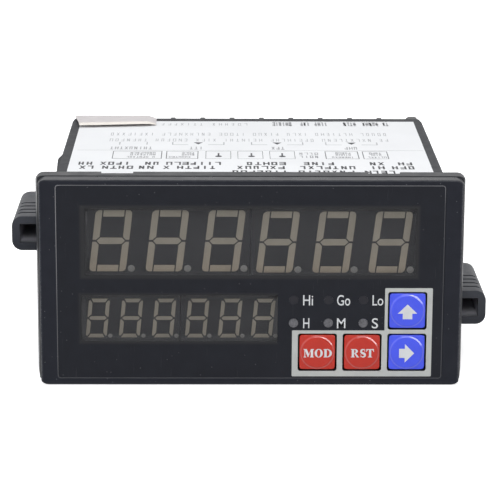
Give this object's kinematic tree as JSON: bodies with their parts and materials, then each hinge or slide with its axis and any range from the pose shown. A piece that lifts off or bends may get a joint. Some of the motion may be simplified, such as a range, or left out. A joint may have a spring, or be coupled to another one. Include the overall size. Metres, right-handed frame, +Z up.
{
  "type": "panel counter",
  "caption": "Flush-mounting panel counter with two rows of seven-segment digits, push keys, indicator lamps, rear screw terminals and sliding side clips.",
  "frame": {"origin": "centre of the panel plane, on the rear face of the case flange", "axes": "+X right seen from the front, +Y into the panel, +Z up"},
  "size_m": [0.1092, 0.0887, 0.048],
  "materials": {
    "bezel_plastic": "fine textured black",
    "overlay_film": "satin printed film",
    "smoked_window": "smoked clear",
    "key_blue": "satin blue",
    "key_red": "satin red",
    "switch_plastic": "moulded black",
    "display_face": "matt dark grey face",
    "segment_resin": "diffusing resin, unlit",
    "lamp_resin": "diffusing resin, unlit",
    "circuit_board": "green solder mask",
    "screw_steel": "zinc plated",
    "clamp_steel": "nickel plated",
    "link_plastic": "moulded black",
    "ferrite": "sintered grey",
    "coil_tape": "yellow tape over copper",
    "relay_plastic": "moulded off-white",
    "capacitor_sleeve": "dark sleeve",
    "chip_epoxy": "moulded black",
    "case_plastic": "fine textured black",
    "terminal_plastic": "moulded black",
    "clip_plastic": "moulded black",
    "label_paper": "white printed label",
    "seal_paper": "cream paper"
  },
  "bodies": {
    "case": {"front_frame": "bezel_plastic", "front_overlay": "overlay_film", "main_window": "smoked_window", "preset_window": "smoked_window", "switch_up": "switch_plastic", "switch_right": "switch_plastic", "switch_mode": "switch_plastic", "switch_reset": "switch_plastic", "main_display_left": "display_face", "main_display_right": "display_face", "preset_display_left": "display_face", "preset_display_right": "display_face", "main_segments_left": "segment_resin", "main_segments_right": "segment_resin", "preset_segments_left": "segment_resin", "preset_segments_right": "segment_resin", "lamp_high": "lamp_resin", "lamp_go": "lamp_resin", "lamp_low": "lamp_resin", "lamp_hours": "lamp_resin", "lamp_minutes": "lamp_resin", "lamp_seconds": "lamp_resin", "display_board": "circuit_board", "main_board": "circuit_board", "power_board": "circuit_board", "board_screws": "screw_steel", "terminal_screws_upper": "screw_steel", "terminal_screws_lower": "screw_steel", "clamp_plates_upper": "clamp_steel", "clamp_plates_lower": "clamp_steel", "link_upper": "link_plastic", "link_lower": "link_plastic", "transformer_core": "ferrite", "transformer_coil": "coil_tape", "relay_left": "relay_plastic", "relay_right": "relay_plastic", "filter_capacitors": "capacitor_sleeve", "controller_chip": "chip_epoxy", "housing": "case_plastic", "rear_cover": "case_plastic", "terminal_block_upper": "terminal_plastic", "terminal_block_lower": "terminal_plastic", "top_label": "label_paper", "seal_strip": "seal_paper"},
    "up_key": {"key_up": "key_blue", "plunger_up": "switch_plastic"},
    "right_key": {"key_right": "key_blue", "plunger_right": "switch_plastic"},
    "mode_key": {"key_mode": "key_red", "plunger_mode": "switch_plastic"},
    "reset_key": {"key_reset": "key_red", "plunger_reset": "switch_plastic"},
    "left_clip": {"clip_left": "clip_plastic"},
    "right_clip": {"clip_right": "clip_plastic"}
  },
  "joints": [
    {"name": "up_key_press", "type": "slide", "parent": "case", "child": "up_key", "axis": [0, 1, 0], "range_m": [0, 0.0005], "stiffness_N_per_m": 3000},
    {"name": "right_key_press", "type": "slide", "parent": "case", "child": "right_key", "axis": [0, 1, 0], "range_m": [0, 0.0005], "stiffness_N_per_m": 3000},
    {"name": "mode_key_press", "type": "slide", "parent": "case", "child": "mode_key", "axis": [0, 1, 0], "range_m": [0, 0.0005], "stiffness_N_per_m": 3000},
    {"name": "reset_key_press", "type": "slide", "parent": "case", "child": "reset_key", "axis": [0, 1, 0], "range_m": [0, 0.0005], "stiffness_N_per_m": 3000},
    {"name": "left_clip_slide", "type": "slide", "parent": "case", "child": "left_clip", "axis": [0, 1, 0], "range_m": [-0.002, 0.038]},
    {"name": "right_clip_slide", "type": "slide", "parent": "case", "child": "right_clip", "axis": [0, 1, 0], "range_m": [-0.002, 0.038]}
  ]
}
